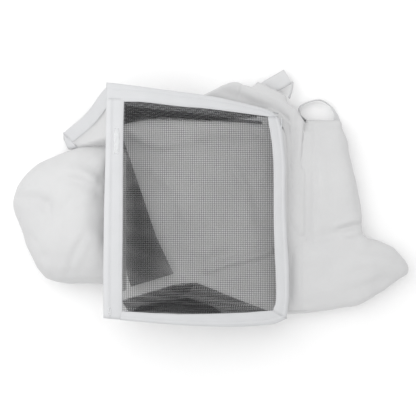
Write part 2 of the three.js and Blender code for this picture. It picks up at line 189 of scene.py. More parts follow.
# %% Weave
def weave_group():
    group, source, out = new_group(
        "woven yarn",
        [("Vector", "NodeSocketVector", None), ("Thread scale", "NodeSocketFloat", 520.0),
         ("Slub", "NodeSocketFloat", 0.5), ("Creases", "NodeSocketFloat", 0.4)],
        [("Height", "NodeSocketFloat"), ("Yarn", "NodeSocketFloat")],
    )
    ridges = []
    for direction in "XYZ":
        wave = group.nodes.new("ShaderNodeTexWave")
        wave.wave_type, wave.bands_direction, wave.wave_profile = "BANDS", direction, "SIN"
        wave.inputs["Distortion"].default_value = 0.6
        wave.inputs["Detail"].default_value = 1.0
        wave.inputs["Detail Scale"].default_value = 0.3
        group.links.new(source.outputs["Vector"], wave.inputs["Vector"])
        group.links.new(source.outputs["Thread scale"], wave.inputs["Scale"])
        ridges.append(wave.outputs["Fac"])
    crossed = math_node(group, "MULTIPLY", ridges[0], ridges[1])
    crossed = math_node(group, "ADD", crossed, math_node(group, "MULTIPLY", ridges[2], 0.35))
    slub = group.nodes.new("ShaderNodeTexNoise")
    slub.inputs["Scale"].default_value = 420.0
    slub.inputs["Detail"].default_value = 3.0
    crease = group.nodes.new("ShaderNodeTexNoise")
    crease.inputs["Scale"].default_value = 70.0
    crease.inputs["Detail"].default_value = 5.0
    crease.inputs["Roughness"].default_value = 0.6
    crease.inputs["Distortion"].default_value = 0.8
    for tex in (slub, crease):
        group.links.new(source.outputs["Vector"], tex.inputs["Vector"])
    slubs = math_node(group, "MULTIPLY", slub.outputs["Fac"], source.outputs["Slub"])
    creases = math_node(group, "MULTIPLY", crease.outputs["Fac"], source.outputs["Creases"])
    height = math_node(group, "ADD", math_node(group, "MULTIPLY", crossed, 0.35), slubs)
    height = math_node(group, "ADD", height, math_node(group, "MULTIPLY", creases, 6.0))
    group.links.new(height, out.inputs["Height"])
    group.links.new(crossed, out.inputs["Yarn"])
    return group


# %% Slow shade
def shade_group():
    group, source, out = new_group(
        "slow shade",
        [("Vector", "NodeSocketVector", None), ("Light colour", "NodeSocketColor", (0.8, 0.8, 0.8, 1)),
         ("Dark colour", "NodeSocketColor", (0.7, 0.7, 0.7, 1)), ("Patch size", "NodeSocketFloat", 12.0),
         ("Yarn", "NodeSocketFloat", 0.5), ("Yarn contrast", "NodeSocketFloat", 0.1)],
        [("Color", "NodeSocketColor"), ("Fac", "NodeSocketFloat")],
    )
    patches = group.nodes.new("ShaderNodeTexNoise")
    patches.inputs["Detail"].default_value = 4.0
    group.links.new(source.outputs["Vector"], patches.inputs["Vector"])
    group.links.new(source.outputs["Patch size"], patches.inputs["Scale"])
    ramp = group.nodes.new("ShaderNodeMapRange")
    ramp.inputs["From Min"].default_value = 0.3
    ramp.inputs["From Max"].default_value = 0.7
    group.links.new(patches.outputs["Fac"], ramp.inputs["Value"])
    yarn = math_node(group, "MULTIPLY", source.outputs["Yarn"], source.outputs["Yarn contrast"])
    fac = math_node(group, "SUBTRACT", ramp.outputs["Result"], yarn)
    blend = group.nodes.new("ShaderNodeMix")
    blend.data_type = "RGBA"
    group.links.new(fac, blend.inputs["Factor"])
    group.links.new(source.outputs["Dark colour"], blend.inputs["A"])
    group.links.new(source.outputs["Light colour"], blend.inputs["B"])
    group.links.new(blend.outputs["Result"], out.inputs["Color"])
    group.links.new(fac, out.inputs["Fac"])
    return group


WOVEN_YARN, SLOW_SHADE = weave_group(), shade_group()
print("groups:", WOVEN_YARN.name, "and", SLOW_SHADE.name)

# %% [markdown]
# ## One recipe for every finish
#
# All the finishes differ only in numbers: two shades, a thread count, how much the yarn varies and how deep the relief
# is. One function builds a material from them, so that a change to the recipe reaches every piece.


# %% A finish from its numbers
def finish_of(name, light, dark, roughness, coordinates="UV", threads=520.0, slub=0.5, creases=0.4, bump=0.5,
              distance=0.0004, patch=12.0, contrast=0.25, sheen=0.0, rough_change=0.08):
    """A material with the shared weave and shade, and its own numbers."""
    material = bpy.data.materials.new(name)
    material.use_nodes = True
    tree = material.node_tree
    shader = tree.nodes["Principled BSDF"]
    shader.inputs["Roughness"].default_value = roughness
    shader.inputs["Sheen Weight"].default_value = sheen
    shader.inputs["Sheen Roughness"].default_value = 0.4
    place = tree.nodes.new("ShaderNodeTexCoord")
    weave = tree.nodes.new("ShaderNodeGroup")
    weave.node_tree = WOVEN_YARN
    shade = tree.nodes.new("ShaderNodeGroup")
    shade.node_tree = SLOW_SHADE
    for node in (weave, shade):
        tree.links.new(place.outputs[coordinates], node.inputs["Vector"])
    weave.inputs["Thread scale"].default_value = threads
    weave.inputs["Slub"].default_value = slub
    weave.inputs["Creases"].default_value = creases
    shade.inputs["Light colour"].default_value = (*light, 1)
    shade.inputs["Dark colour"].default_value = (*dark, 1)
    shade.inputs["Patch size"].default_value = patch
    shade.inputs["Yarn contrast"].default_value = contrast
    tree.links.new(weave.outputs["Yarn"], shade.inputs["Yarn"])
    tree.links.new(shade.outputs["Color"], shader.inputs["Base Color"])
    raised = tree.nodes.new("ShaderNodeBump")
    raised.inputs["Strength"].default_value = bump
    raised.inputs["Distance"].default_value = distance
    tree.links.new(weave.outputs["Height"], raised.inputs["Height"])
    tree.links.new(raised.outputs["Normal"], shader.inputs["Normal"])
    spread = tree.nodes.new("ShaderNodeMapRange")
    spread.inputs["To Min"].default_value = roughness - rough_change
    spread.inputs["To Max"].default_value = roughness + rough_change
    tree.links.new(shade.outputs["Fac"], spread.inputs["Value"])
    tree.links.new(spread.outputs["Result"], shader.inputs["Roughness"])
    return material


# %% [markdown]
# ## Finishes
#
# The cotton is a plain-woven drill, matt and nearly white. The binding tape is denser and a little bluer, so it looks
# smoother and brighter than the cloth that it binds. The screen is a coated black mesh, and the sewing thread is plain
# white polyester with a faint gloss. The hood's back is the same cotton painted whiter than the rest, as painted light
# that makes up for the shade that the screen in front casts on it. Loose pieces have no flat cut, so their weave
# follows Object coordinates.

# %% Cloth, tape, screen, thread and plastic
COTTON_LIGHT, COTTON_DARK, COTTON_ROUGHNESS, COTTON_SHEEN = (0.645, 0.646, 0.648), (0.605, 0.606, 0.61), 0.88, 0.15
cotton = finish_of("white cotton drill", COTTON_LIGHT, COTTON_DARK, COTTON_ROUGHNESS, sheen=COTTON_SHEEN)
cotton_loose = finish_of("white cotton drill, loose", COTTON_LIGHT, COTTON_DARK, COTTON_ROUGHNESS,
                         coordinates="Object", sheen=COTTON_SHEEN)
# Painted light: the hood back's cotton is painted whiter than the same cotton elsewhere, to offset the screen's shade
# on it.
cotton_painted_lighter = finish_of("white cotton drill, painted lighter for the hood back", (0.72, 0.72, 0.722), (0.66, 0.66, 0.664), COTTON_ROUGHNESS,
                        sheen=COTTON_SHEEN)
tape_finish = finish_of("white binding tape", (0.62, 0.626, 0.638), (0.59, 0.596, 0.608), 0.62, threads=760, slub=0.2,
                        creases=0.25, bump=0.35, distance=0.0003, patch=30, contrast=0.12)
strap_finish = finish_of("white strap", (0.68, 0.683, 0.69), (0.62, 0.623, 0.63), 0.78, threads=380, slub=0.3,
                         creases=0.2, bump=0.6, patch=40, contrast=0.3)
sewing_finish = finish_of("sewing thread", (0.68, 0.685, 0.69), (0.62, 0.625, 0.63), 0.5, coordinates="Object",
                          threads=1400, slub=0.1, creases=0.0, bump=0.3, distance=0.0001, patch=60)
screen_finish = finish_of("black coated mesh", (0.034, 0.035, 0.037), (0.016, 0.016, 0.017), 0.42,
                          coordinates="Object", threads=900, slub=0.4, creases=0.0, bump=0.3, distance=0.0001,
                          patch=25, contrast=0.2)
steel_finish = finish_of("spring steel", (0.55, 0.56, 0.57), (0.42, 0.43, 0.44), 0.32, coordinates="Object",
                         threads=200, slub=0.6, creases=0.0, bump=0.15, distance=0.0001, patch=80)
steel_finish.node_tree.nodes["Principled BSDF"].inputs["Metallic"].default_value = 1.0
elastic_finish = finish_of("waist elastic", (0.76, 0.76, 0.76), (0.62, 0.62, 0.62), 0.8, coordinates="Object",
                           threads=210, slub=0.2, creases=0.1, bump=0.8, patch=60)
floor_finish = finish_of("pale table", (0.99, 0.99, 0.99), (0.98, 0.98, 0.98), 0.85, coordinates="Object",
                         threads=40, slub=0.1, creases=0.05, bump=0.02, distance=0.0002, patch=3, contrast=0.0)


def clear_plastic():
    material = bpy.data.materials.new("clear plastic")
    material.use_nodes = True
    tree = material.node_tree
    shader = tree.nodes["Principled BSDF"]
    shader.inputs["Base Color"].default_value = (0.86, 0.87, 0.88, 1)
    shader.inputs["IOR"].default_value = 1.5
    shader.inputs["Coat Weight"].default_value = 1.0
    place = tree.nodes.new("ShaderNodeTexCoord")
    ripple = tree.nodes.new("ShaderNodeTexNoise")
    ripple.inputs["Scale"].default_value = 190.0
    ripple.inputs["Detail"].default_value = 2.0
    tree.links.new(place.outputs["Object"], ripple.inputs["Vector"])
    raised = tree.nodes.new("ShaderNodeBump")
    raised.inputs["Strength"].default_value = 0.9
    raised.inputs["Distance"].default_value = 0.001
    tree.links.new(ripple.outputs["Fac"], raised.inputs["Height"])
    tree.links.new(raised.outputs["Normal"], shader.inputs["Normal"])
    for socket, low, high in (("Roughness", 0.06, 0.2), ("Alpha", 0.25, 0.5)):
        spread = tree.nodes.new("ShaderNodeMapRange")
        spread.inputs["To Min"].default_value = low
        spread.inputs["To Max"].default_value = high
        tree.links.new(ripple.outputs["Fac"], spread.inputs["Value"])
        tree.links.new(spread.outputs["Result"], shader.inputs[socket])
    return material


plastic_finish = clear_plastic()
print("finishes:", [m.name for m in bpy.data.materials])

# %% [markdown]
# ## Table
#
# A flat pale sheet under the garment catches its soft shadow. It belongs to the stage, not to the garment.

# %% Table
floor_mesh = bmesh.new()
bmesh.ops.create_grid(floor_mesh, x_segments=1, y_segments=1, size=3.0)
floor_data = bpy.data.meshes.new("table")
floor_mesh.to_mesh(floor_data)
floor_mesh.free()
floor = bpy.data.objects.new("table", floor_data)
floor_data.materials.append(floor_finish)
scene.collection.objects.link(floor)
print("table:", floor.name)

# %% [markdown]
# ## Making a piece
#
# Every piece starts as a flat grid or another simple shape and is moved into place point by point, as a sheet is laid
# over its form. The grid keeps a map of where each point lay in the flat cut, in metres, and the weave follows that
# map. A tape gets its thickness by extruding the grid and rounding both sides.


# %% Sheets
def finished(name, bm, material):
    """The bmesh becomes a smooth object at the origin."""
    mesh = bpy.data.meshes.new(name)
    bm.to_mesh(mesh)
    bm.free()
    mesh.materials.append(material)
    mesh.shade_smooth()
    piece = bpy.data.objects.new(name, mesh)
    scene.collection.objects.link(piece)
    print("made", name, "with", len(mesh.polygons), "faces")
    return piece


def flat_cut(columns, rows, size):
    """A grid from (0, 0) to (1, 1), with its cut map in metres and each point's own u and v kept."""
    bm = bmesh.new()
    cut = bm.loops.layers.uv.new("cut")
    bmesh.ops.create_grid(bm, x_segments=columns, y_segments=rows, size=0.5)
    bmesh.ops.translate(bm, verts=bm.verts, vec=(0.5, 0.5, 0))
    keep_u, keep_v = bm.verts.layers.float.new("u"), bm.verts.layers.float.new("v")
    for vert in bm.verts:
        vert[keep_u], vert[keep_v] = vert.co.x, vert.co.y
    for face in bm.faces:
        for loop in face.loops:
            loop[cut].uv = (loop.vert.co.x * size[0], loop.vert.co.y * size[1])
    return bm, keep_u, keep_v


def cloth_sheet(name, columns, rows, size, place, material, thickness=0.9):
    """A sheet laid out by place(u, v), with a cloth's thickness."""
    bm, keep_u, keep_v = flat_cut(columns, rows, size)
    for vert in bm.verts:
        vert.co = place(vert[keep_u], vert[keep_v])
    bm.normal_update()
    piece = finished(name, bm, material)
    wall = piece.modifiers.new("cloth thickness", "SOLIDIFY")
    wall.thickness, wall.offset = thickness * MM, 0.0
    return piece


def doubled(bm):
    """Extrudes a flat cut once, and gives the points of its new side."""
    made = bmesh.ops.extrude_face_region(bm, geom=bm.faces[:])["geom"]
    return {v for v in made if isinstance(v, bmesh.types.BMVert)}


def swell(v, power=5):
    """A rounded profile: full between its two edges at v = 0 and 1, and closed at them."""
    return max(0.0, 1 - abs(2 * v - 1) ** power) ** 0.5


# %% Smooth lines
SPAN_STEPS = 12


def line_length(points):
    return sum((Vector(q) - Vector(p)).length for p, q in zip(points, points[1:]))


def spaced(points, count):
    """count + 1 points at even steps along a smooth line through the given points (x, y)."""
    line = [Vector((*p, 0)) for p in points]
    ends = [line[0] * 2 - line[1], *line, line[-1] * 2 - line[-2]]
    fine = []
    for i in range(1, len(ends) - 2):
        a, b, c, d = ends[i - 1 : i + 3]
        for k in range(SPAN_STEPS):
            t = k / SPAN_STEPS
            straight = (2 * b) + (c - a) * t
            fine.append(0.5 * (straight + (2 * a - 5 * b + 4 * c - d) * t**2 + (3 * b - a - 3 * c + d) * t**3))
    fine.append(line[-1])
    steps = np.cumsum([0] + [(q - p).length for p, q in zip(fine, fine[1:])])
    made, i = [], 0
    for target in np.linspace(0, steps[-1], count + 1):
        while i < len(steps) - 2 and steps[i + 1] < target:
            i += 1
        t = (target - steps[i]) / max(steps[i + 1] - steps[i], 1e-9)
        made.append(fine[i].lerp(fine[i + 1], clamp01(t)))
    return made


# %% Tapes and stitches
TAPE_STEP, TAPE_PUCKER = 5.0, 0.35
STITCH_PITCH, STITCH_LENGTH, STITCH_RADIUS = 3.4, 2.5, 0.32


def tape_round(v):
    """Half the tape's thickness, from its inner edge (0) to its outer fold (1), in mm."""
    body = 1.55 * swell(v) + 0.12
    stay_bulge = 1.0 * math.exp(-(((v - 0.78) / 0.09) ** 2))
    seams = 0.45 * math.exp(-(((v - 0.12) / 0.035) ** 2)) + 0.4 * math.exp(-(((v - 0.62) / 0.035) ** 2))
    return body + stay_bulge - seams


def bound_edge(name, inner, outer, place, width, length, across=16, half=tape_round, overlap=0.0, seed=0):
    """A tape between two lines of (x, y), laid on a surface by place(x, y, lift)."""
    columns = max(4, int(length / TAPE_STEP))
    inner_line, outer_line = spaced(inner, columns), spaced(outer, columns)
    for line in (inner_line, outer_line):
        line[0] = line[0] + (line[0] - line[1]).normalized() * overlap
        line[-1] = line[-1] + (line[-1] - line[-2]).normalized() * overlap
    bm, keep_u, keep_v = flat_cut(columns, across, (length * MM, width * MM))
    top = doubled(bm)
    for vert in bm.verts:
        u, v = vert[keep_u], vert[keep_v]
        i = round(u * columns)
        p = inner_line[i].lerp(outer_line[i], v)
        wave = drift(u * length / 11.0, v * 1.5, seed * 7.3)
        ripple = TAPE_PUCKER * wave * (0.4 + abs(2 * v - 1))
        side = 1 if vert in top else -1
        vert.co = place(p.x, p.y, side * half(v) + ripple)
    bmesh.ops.recalc_face_normals(bm, faces=bm.faces)
    return finished(name, bm, tape_finish)


def sewn_line(name, points, place, lift):
    """A row of stitches along a line of (x, y), each a small rounded thread on the surface."""
    line = spaced(points, max(2, int(line_length(points) / STITCH_PITCH)))
    bm = bmesh.new()
    for a, b in zip(line, line[1:]):
        p, q = place(a.x, a.y, lift), place(b.x, b.y, lift)
        along = (q - p).normalized()
        turn = Vector((1, 0, 0)).rotation_difference(along).to_matrix().to_4x4()
        size = Matrix.Diagonal((STITCH_LENGTH / 2 * MM, STITCH_RADIUS * MM, STITCH_RADIUS * MM, 1))
        bmesh.ops.create_uvsphere(
            bm, u_segments=6, v_segments=4, radius=1, matrix=Matrix.Translation((p + q) / 2) @ turn @ size
        )
    return finished(name, bm, sewing_finish)


# %% [markdown]
# ## The woven screen
#
# A veil's mesh is real thread with air between, and the white cloth behind it must show through the holes. So it is
# made of real ribbons: a grid whose columns are a thread and a gap in turn, with the gap columns taken out, laid twice
# at right angles, cut to the panel's outline and given a little thickness. One set dips under the other.


# %% Helper for screens
THREAD_DIP, THREAD_HEIGHT, LAYER_SHIFT = 0.15, 0.35, 0.45  # mm, mm, and a share of the pitch


def woven_screen(name, parts, place, pitch=2.85, thread=0.42, segments=14, layers=1, spread=1.5):
    """Threads inside the convex parts, each an outline of (x, y) in mm, laid out by place(x, y, lift)."""
    corners = [p for part in parts for p in part]
    low = Vector((min(p[0] for p in corners), min(p[1] for p in corners)))
    high = Vector((max(p[0] for p in corners), max(p[1] for p in corners)))
    whole = bmesh.new()
    for part in parts:
        bm = bmesh.new()
        keep_lift = bm.verts.layers.float.new("lift")
        for layer in range(layers):
            for first, second in ((0, 1), (1, 0)):
                count = int((high[first] - low[first]) / pitch)
                verts = bmesh.ops.create_grid(bm, x_segments=2 * count + 1, y_segments=segments, size=0.5)["verts"]
                faces = {f for v in verts for f in v.link_faces}
                columns = {f: int((f.calc_center_median().x + 0.5) * (2 * count + 1)) for f in faces}
                for v in verts:
                    column = round((v.co.x + 0.5) * (2 * count + 1))
                    p = [0.0, 0.0]
                    p[first] = low[first] + (column // 2 + LAYER_SHIFT * layer) * pitch + (thread if column % 2 else 0)
                    p[second] = mix(low[second], high[second], v.co.y + 0.5)
                    v.co = (p[0], p[1], 0)
                    v[keep_lift] = (THREAD_DIP if first else -THREAD_DIP) - layer * spread
                bmesh.ops.delete(bm, geom=[f for f in faces if columns[f] % 2], context="FACES")
        middle = sum((Vector(p) for p in part), Vector((0, 0))) / len(part)
        for (ax, ay), (bx, by) in zip(part, part[1:] + part[:1]):
            out = Vector((by - ay, ax - bx, 0))
            if out.dot(Vector((ax - middle.x, ay - middle.y, 0))) < 0:
                out = -out
            bmesh.ops.bisect_plane(
                bm, geom=bm.verts[:] + bm.edges[:] + bm.faces[:], plane_co=(ax, ay, 0), plane_no=out, clear_outer=True
            )
        for v in bm.verts:
            v.co = place(v.co.x, v.co.y, v[keep_lift])
        part_mesh = bpy.data.meshes.new("part")
        bm.to_mesh(part_mesh)
        bm.free()
        whole.from_mesh(part_mesh)
        bpy.data.meshes.remove(part_mesh)
    piece = finished(name, whole, screen_finish)
    wall = piece.modifiers.new("thread thickness", "SOLIDIFY")
    wall.thickness, wall.offset = THREAD_HEIGHT * MM, 0.0
    return piece


# %% [markdown]
# ## The veil: screen and frame
#
# The frame is four lengths of folded tape that lap over each other at the corners, the upper one on top. Their lines
# aren't ruled: the upper edge bows, the neck corner is rounded and the lower edge hangs out a little in the middle. A
# steel stay runs in each tape near its outer fold, which shows as a soft bulge, and two rows of stitching close it.

# %% Front screen
WINDOW = [(-256, 165), (-256, -160), (-10, -164), (-14, 143), (-120, 156)]


def screen_sag(x, y):
    across = clamp01((x + 250) / 232)
    down = clamp01((y + 156) / 300)
    belly = math.sin(math.pi * across) * math.sin(math.pi * down)
    waves = drift(x / 70, y / 95, 1.7)
    return -3.2 * belly + 1.3 * waves * min(1, 6 * belly)


front_screen = woven_screen(
    "front_screen_threads", [WINDOW], lambda x, y, lift: on_veil(x, y, lift + screen_sag(x, y)), segments=18
)
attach(front_screen, "veil_front")
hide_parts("front_screen")
print("front screen, threads cut to", WINDOW)

# %% Frame tapes
FRAME_EDGES = {
    "upper": (
        [(-275.5, 157.0), (-247.7, 156.4), (-217, 156.4), (-166, 151.5), (-118, 148.6), (-28, 139.1)],
        [(-274.5, 184.1), (-247, 181.9), (-182, 175.2), (-118, 168.3), (-56, 156.5), (-26, 149), (-11, 139)],
    ),
    "neck": (
        [(-28, 139.1), (-19.4, 78), (-18.2, -30), (-14.5, -132), (-19.5, -156.2)],
        [(-11, 139), (-4.8, 121), (-2.2, 98), (1.2, 65), (0.6, 24), (2.4, -30), (5.6, -84), (6.2, -134), (2.5, -169)],
    ),
    "lower": (
        [(-19.5, -156.2), (-80, -158.6), (-166, -158.1), (-253, -151.8)],
        [(2.5, -169), (-14, -176), (-34, -178.4), (-87, -179.4), (-166, -174.5), (-247, -165.7), (-253, -165.0)],
    ),
    "crown": (
        [(-250.6, -164.4), (-250.8, -100), (-250.2, -30), (-249.6, 106), (-248, 161)],
        [(-279, -161.2), (-279.2, -100), (-278, -4), (-276, 75), (-274.6, 161)],
    ),
}


def along_tape(inner, outer, share, count=24):
    """A line of (x, y) that runs along the tape, at a share of the way from its inner to its outer edge."""
    return [tuple(p.lerp(q, share))[:2] for p, q in zip(spaced(inner, count), spaced(outer, count))]


for number, (edge, (inner, outer)) in enumerate(FRAME_EDGES.items()):
    length = line_length(outer)
    over = {"upper": 0.5, "crown": 0.25}.get(edge, 0.0)
    lay = lambda x, y, lift: on_veil(x, y, lift + over)
    tape = bound_edge(f"{edge}_edge_tape", inner, outer, lay, 26, length, seed=number,
                      overlap=1.2 if edge in ("neck", "lower") else 0.0)
    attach(tape, "veil_front")
    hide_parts(f"{edge}_edge_binding")
    for row, share in (("inner", 0.12), ("stay", 0.62)):
        line = along_tape(inner, outer, share)
        seam = sewn_line(f"{edge}_edge_{row}_stitches", line[1:-1], on_veil, lift=tape_round(share) + over + 0.05)
        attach(seam, "veil_front")
    print(edge, "edge tape,", round(length), "mm long")

# %% [markdown]
# ## Clear stay tips
#
# The steel stay at the crown edge ends in clear plastic sleeves, so that it can't cut through the tape. They lie on
# the tape as thin wrinkled film, glossy against the matt cotton.


# %% Stay tips
def stay_tip(name, x, y, width, length, node, seed):
    bm, keep_u, keep_v = flat_cut(8, 22, (width * MM, length * MM))
    top = doubled(bm)
    for vert in bm.verts:
        u, v = vert[keep_u] - 0.5, vert[keep_v] - 0.5
        rounding = swell(u + 0.5, 4) * swell(v + 0.5, 6)
        narrow = 1 - 0.25 * abs(2 * v) ** 3
        crinkle = 0.8 * drift(u * 5 + seed, v * 14, seed)
        height = 2.1 + (0.9 * rounding + crinkle if vert in top else 0.0)
        vert.co = on_veil(x + u * width * narrow, y + v * length, height)
    bmesh.ops.recalc_face_normals(bm, faces=bm.faces)
    tip = finished(name, bm, plastic_finish)
    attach(tip, "veil_front")
    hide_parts(node)


stay_tip("upper_clear_tip", -259.5, 98, 9, 38, "upper_stay_tip", 1.0)
stay_tip("lower_clear_tip", -270.5, -152, 6, 12, "lower_stay_tip", 2.0)

# %% [markdown]
# ## Folded gussets
#
# The hood's sides are the same black mesh, doubled where it is hemmed, and folded inwards when the box is pressed
# flat. Through the front screen they show as dark shapes with straight edges. Each front half hangs from its tape and
# curves under; each back half lies on the hood's back; the corner gusset lies flat above it. The lower front half has
# a hem, where the mesh lies double again and looks darker.

# %% Gusset helpers
FRAME_MIDDLE = {
    "crown_upper": (-262.5, 170), "neck_upper": (-15, 142.5), "crown_lower": (-261.5, -156), "neck_lower": (-10, -165),
}


def hanging(neck_corner, crown_corner, side, lean_start, lean_end, depth):
    """Places a sheet that hangs from a tape: x from its neck end, y down the sheet, which curves as it falls."""
    a, b = on_veil(*FRAME_MIDDLE[neck_corner], -3.1), on_veil(*FRAME_MIDDLE[crown_corner], -3.1)
    along = (b - a).normalized()
    start, bend = math.radians(lean_start), math.radians(lean_end - lean_start) / depth
    inwards = Vector((0, -side, 0))
    inwards = (inwards - along * inwards.dot(along)).normalized()
    square = along.cross(inwards)
    down = square if square.z < 0 else -square

    def place(x, y, lift):
        angle = start + bend * y
        reach = (math.sin(angle) - math.sin(start)) / bend
        fall = (math.cos(start) - math.cos(angle)) / bend
        normal = inwards * math.sin(angle) - down * math.cos(angle)
        return a + along * (x * MM) + inwards * (reach * MM) + down * (fall * MM) + normal * (lift * MM)

    return place, (b - a).length / MM


def gusset(name, body, parts, place, thread=0.42, **how):
    piece = woven_screen(name, parts, place, thread=thread, layers=2, **how)
    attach(piece, body)
    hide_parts(body)


# %% Front halves
upper_place, upper_length = hanging("neck_upper", "crown_upper", 1, 62, 46, 80)
bend_x = upper_length - 46
gusset(
    "upper_gusset_front_mesh", "upper_gusset_front",
    [[(bend_x, 1), (upper_length - 13, 1), (upper_length - 13, 84), (bend_x, 54)],
     [(26, 1), (bend_x, 1), (bend_x, 54), (upper_length - 150, 38), (26, 14)]],
    lambda x, y, lift: upper_place(x, y, lift + 1.2 * drift(x / 60, y / 40, 3)), thread=0.37,
)
lower_place, lower_length = hanging("neck_lower", "crown_lower", -1, 48, 34, 62)
gusset(
    "lower_gusset_front_mesh", "lower_gusset_front",
    [[(14, 1), (lower_length - 30, 1), (lower_length - 13, 27), (lower_length * 0.62, 57), (lower_length * 0.48, 61),
      (lower_length * 0.3, 40), (14, 10)]],
    lambda x, y, lift: lower_place(x, y, lift + 1.0 * drift(x / 60, y / 40, 5)),
)

# %% Hem of the lower front half
hem_end = lower_length - 13
lower_hem = woven_screen(
    "lower_gusset_front_hem",
    [[(hem_end - 10, 6), (hem_end, 27), (lower_length * 0.62, 57), (lower_length * 0.5, 60), (lower_length * 0.52, 48),
      (lower_length * 0.64, 30), (hem_end - 28, 6)]],
    lambda x, y, lift: lower_place(x, y, lift - 3.2 + 1.0 * drift(x / 60, y / 40, 5)),
    layers=2, spread=0.9,
)
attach(lower_hem, "lower_gusset_front")

# %% Back halves and corner gusset
BACK_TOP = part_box("hood_back_panel")[1].z / MM
gusset(
    "upper_gusset_back_mesh", "upper_gusset_back",
    [[(-190, 152), (-246, 160), (-246, 131), (-190, 141)], [(-34, 134), (-190, 152), (-190, 141), (-34, 130)]],
    lambda x, y, lift: at(x, y, BACK_TOP + 2.3 + lift), spread=0.8,
)
gusset(
    "lower_gusset_back_mesh", "lower_gusset_back",
    [[(-96, -163), (-236, -161), (-222, -151), (-150, -139), (-112, -152)]],
    lambda x, y, lift: at(x, y, BACK_TOP + 2.3 + lift), spread=0.8,
)
flap_low, flap_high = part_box("corner_gusset")
FLAP_X = (flap_low.x - NECK.x) / MM
gusset(
    "corner_gusset_mesh", "corner_gusset",
    [[(FLAP_X, 104), (FLAP_X, -44), (FLAP_X + 50, -44)],
     [(FLAP_X, -44), (FLAP_X, -84), (FLAP_X + 11, -121), (FLAP_X + 77, -101), (FLAP_X + 50, -44)]],
    lambda x, y, lift: at(x, y, flap_high.z / MM + 0.6 + lift + 0.05 * (x - FLAP_X)),
    thread=0.46,
)

# %% [markdown]
# ## The hood's back
#
# Behind the screen lies the white back of the hood, a sheet of cotton that has pushed up in soft ridges where the
# folded body under it isn't even. Three tapes bind it.

# %% Back panel and its tapes
BACK_DEPTH = 1.2


def on_back(x, y, lift):
    return at(x, y, BACK_TOP - BACK_DEPTH + lift)


# Each ridge is a line of (x, y), a height and a width.
BACK_RIDGES = [
    ([(-240, 118), (-218, 102), (-190, 97), (-150, 103), (-110, 116), (-50, 110)], 6.5, 6),
    ([(-120, -96), (-90, -86), (-60, -78), (-20, -66)], 7.5, 6),
    ([(-204, 60), (-170, 28), (-150, -20)], 3.5, 7),
    ([(-150, -60), (-120, -72), (-96, -60)], 4.0, 6),
    ([(-84, 70), (-60, 30), (-52, -20)], 4.0, 8),
]


def near_line(x, y, line):
    """Distance in mm from a point to a line of (x, y)."""
    p, best = Vector((x, y)), 1e9
    for a, b in zip(line, line[1:]):
        a, d = Vector(a), Vector(b) - Vector(a)
        best = min(best, (p - a - d * clamp01((p - a).dot(d) / d.length_squared)).length)
    return best


def back_swell(x, y):
    inside = min(clamp01((x + 262) / 40), clamp01((-x - 4) / 30), clamp01((y + 166) / 40), clamp01((150 - y) / 40))
    ridge = sum(high * math.exp(-((near_line(x, y, line) / wide) ** 2)) for line, high, wide in BACK_RIDGES)
    uneven = 3.0 * drift(x / 80, y / 70, 0.4) + 2.0 * drift(x / 26, y / 22, 4.4)
    return min(9.5, inside * (1.8 + ridge + uneven))


def back_place(u, v):
    crown_end_point = Vector((-262, mix(-163, 172, v), 0))
    neck_end_point = Vector((-1, mix(-168, 136, v), 0))
    p = crown_end_point.lerp(neck_end_point, u)
    return on_back(p.x, p.y, max(-0.6, back_swell(p.x, p.y)))


# The hood's back wears the cotton painted whiter, as painted light against the shade of the screen above it.
back_cloth = cloth_sheet("hood_back_cloth", 78, 96, (0.261, 0.335), back_place, cotton_painted_lighter, thickness=0.8)
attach(back_cloth, "hood_back")
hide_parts("hood_back_panel")


# %% Tapes of the back
def plain_round(v):
    """Half the thickness of a tape with no stay in it, in mm."""
    return swell(v) + 0.12


BACK_TAPES = {
    "hood_back_crown": ([(-244, -146), (-244, 154)], [(-263, -165), (-263, 173)]),
    "hood_back_lower": ([(-244, -146), (-1, -150)], [(-263, -165), (-1, -169)]),
    "hood_back_upper": ([(-244, 154), (-1, 118)], [(-263, 173), (-1, 137)]),
}
for number, (name, (inner, outer)) in enumerate(BACK_TAPES.items()):
    length = (Vector(outer[1]) - Vector(outer[0])).length
    tape = bound_edge(f"{name}_tape", inner, outer, lambda x, y, lift: on_back(x, y, lift - 0.2), 18, length,
                      across=10, half=plain_round, seed=10 + number)
    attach(tape, "hood_back")
    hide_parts(f"{name}_binding")

# %% [markdown]
# ## The crown
#
# The hood's top is a white panel sewn to the veil's crown edge. Its upper end slopes out and down over the fold of
# the smock, so it is seen at an angle and sags a little; the rest tucks down under the edge, behind the screen. It is
# one sheet, and its depth and slope change along the seam.

# %% Crown sheet and tapes
OUT_ANGLE, TUCK_ANGLE = math.radians(52), math.radians(106)
CROWN_DEPTH, TUCK_DEPTH = 131.0, 64.0
CROWN_TOP, CROWN_LOW = 181, 117.5


def crown_top(s):
    """How high the crown's upper edge is, s mm out from the seam."""
    return mix(CROWN_TOP, CROWN_LOW, s / CROWN_DEPTH)


def crown_out(y, s):
    """0 where the crown tucks under the edge, 1 where it slopes out over the fold."""
    turn = mix(98, 81, clamp01(s / CROWN_DEPTH))
    return ease(y, turn, turn + 9)


def on_crown(y, s, lift=0.0):
    out = crown_out(y, s)
    angle = mix(TUCK_ANGLE, OUT_ANGLE, out)
    start = on_veil(-271, y, -3.4)
    slope = Vector((-math.cos(angle), 0, -math.sin(angle)))
    square = Vector((-math.sin(angle), 0, math.cos(angle)))
    share = clamp01(s / CROWN_DEPTH)
    sag = -7.5 * math.sin(math.pi * share) * out * (0.4 + 0.6 * math.sin(math.pi * clamp01((y - 100) / 70)))
    crinkle = 0.9 * drift(y / 17, s / 24, 2.2) * math.sin(math.pi * share)
    return start + (slope * s + square * (sag + crinkle + lift)) * MM


def crown_end(y):
    """How far out the crown reaches, which is less at its lower corner."""
    return CROWN_DEPTH - 15 * clamp01((108 - y) / 18)


